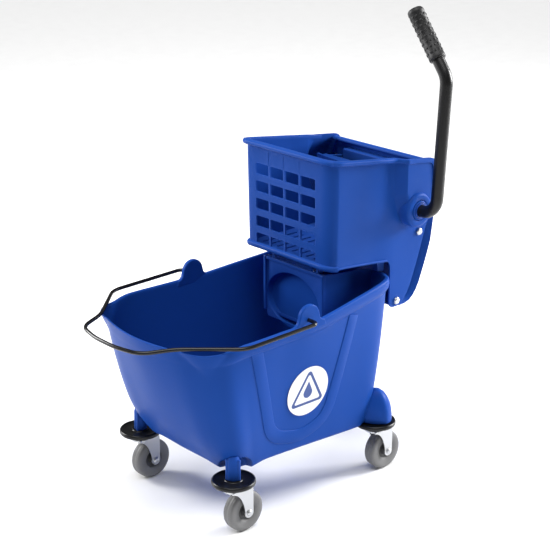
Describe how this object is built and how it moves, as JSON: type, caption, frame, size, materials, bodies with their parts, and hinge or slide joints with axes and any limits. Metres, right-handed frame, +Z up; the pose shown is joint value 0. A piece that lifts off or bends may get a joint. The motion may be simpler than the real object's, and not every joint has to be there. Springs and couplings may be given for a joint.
{
  "type": "mop bucket with wringer",
  "caption": "Blue mop bucket on swivel casters with a wire bail handle and a lift-off side-press wringer worked by an upright lever.",
  "frame": {"origin": "on the floor, under the middle of the whole part's box; the bucket's middle plane is Y = 0", "axes": "+Z up; +X runs along the bucket to the wringer end; -Y is the side with the lever and the label"},
  "size_m": [0.6824, 0.387, 0.8733],
  "materials": {
    "blue_plastic": "glossy moulded polypropylene with a very fine grain",
    "label": "matt printed film",
    "bail_wire": "gloss black powder coat",
    "bumper": "black moulded rubber",
    "zinc_steel": "bright zinc plate",
    "tyre": "grey non-marking rubber",
    "wheel_core": "dark grey moulded nylon",
    "lever_coat": "satin black powder coat",
    "grip_rubber": "black rubber with raised dots",
    "bush_nylon": "blue nylon"
  },
  "bodies": {
    "root": {"bucket": "blue_plastic", "label_disc": "label", "bumper_front_left": "bumper", "bumper_front_right": "bumper", "bumper_rear_left": "bumper", "bumper_rear_right": "bumper", "stem_front_left": "zinc_steel", "stem_front_right": "zinc_steel", "stem_rear_left": "zinc_steel", "stem_rear_right": "zinc_steel", "race_front_left": "zinc_steel", "race_front_right": "zinc_steel", "race_rear_left": "zinc_steel", "race_rear_right": "zinc_steel"},
    "bail": {"bail_handle": "bail_wire"},
    "wringer": {"wringer_body": "blue_plastic", "rear_cover": "blue_plastic", "cover_bolts": "zinc_steel", "cover_nuts": "zinc_steel", "hub_bushes": "bush_nylon"},
    "lever": {"lever_tube": "lever_coat", "grip": "grip_rubber", "press_shaft": "zinc_steel", "cranks": "zinc_steel", "shaft_cap": "bush_nylon", "crank_pins": "zinc_steel"},
    "press": {"press_plate": "blue_plastic"},
    "caster_front_left": {"balls_front_left": "zinc_steel", "fork_front_left": "zinc_steel", "axle_front_left": "zinc_steel"},
    "wheel_front_left": {"hub_front_left": "wheel_core", "tyre_front_left": "tyre"},
    "caster_front_right": {"balls_front_right": "zinc_steel", "fork_front_right": "zinc_steel", "axle_front_right": "zinc_steel"},
    "wheel_front_right": {"hub_front_right": "wheel_core", "tyre_front_right": "tyre"},
    "caster_rear_left": {"balls_rear_left": "zinc_steel", "fork_rear_left": "zinc_steel", "axle_rear_left": "zinc_steel"},
    "wheel_rear_left": {"hub_rear_left": "wheel_core", "tyre_rear_left": "tyre"},
    "caster_rear_right": {"balls_rear_right": "zinc_steel", "fork_rear_right": "zinc_steel", "axle_rear_right": "zinc_steel"},
    "wheel_rear_right": {"hub_rear_right": "wheel_core", "tyre_rear_right": "tyre"}
  },
  "joints": [
    {"name": "swivel_front_left", "type": "hinge", "parent": "root", "child": "caster_front_left", "pos_m": [-0.173, 0.136, 0.09], "axis": [0, 0, 1], "continuous": true},
    {"name": "roll_front_left", "type": "hinge", "parent": "caster_front_left", "child": "wheel_front_left", "pos_m": [-0.152, 0.136, 0.0381], "axis": [0, 1, 0], "continuous": true},
    {"name": "swivel_front_right", "type": "hinge", "parent": "root", "child": "caster_front_right", "pos_m": [-0.173, -0.136, 0.09], "axis": [0, 0, 1], "continuous": true},
    {"name": "roll_front_right", "type": "hinge", "parent": "caster_front_right", "child": "wheel_front_right", "pos_m": [-0.152, -0.136, 0.0381], "axis": [0, 1, 0], "continuous": true},
    {"name": "swivel_rear_left", "type": "hinge", "parent": "root", "child": "caster_rear_left", "pos_m": [0.184, 0.129, 0.09], "axis": [0, 0, 1], "continuous": true},
    {"name": "roll_rear_left", "type": "hinge", "parent": "caster_rear_left", "child": "wheel_rear_left", "pos_m": [0.205, 0.129, 0.0381], "axis": [0, 1, 0], "continuous": true},
    {"name": "swivel_rear_right", "type": "hinge", "parent": "root", "child": "caster_rear_right", "pos_m": [0.184, -0.129, 0.09], "axis": [0, 0, 1], "continuous": true},
    {"name": "roll_rear_right", "type": "hinge", "parent": "caster_rear_right", "child": "wheel_rear_right", "pos_m": [0.205, -0.129, 0.0381], "axis": [0, 1, 0], "continuous": true},
    {"name": "bail_swing", "type": "hinge", "parent": "root", "child": "bail", "pos_m": [-0.026, 0, 0.373], "axis": [0, 1, 0], "range_deg": [0, 100]},
    {"name": "wringer_lift", "type": "slide", "parent": "root", "child": "wringer", "axis": [0, 0, 1], "range_m": [0, 0.12]},
    {"name": "lever_swing", "type": "hinge", "parent": "wringer", "child": "lever", "pos_m": [0.275, 0, 0.505], "axis": [0, -1, 0], "range_deg": [0, 85]},
    {"name": "plate_level", "type": "hinge", "parent": "lever", "child": "press", "pos_m": [0.29448, 0, 0.55321], "axis": [0, -1, 0], "range_deg": [-85.5, 0.5]}
  ],
  "couplings": [
    {"joint": "plate_level", "follows": "lever_swing", "ratio": -1}
  ]
}
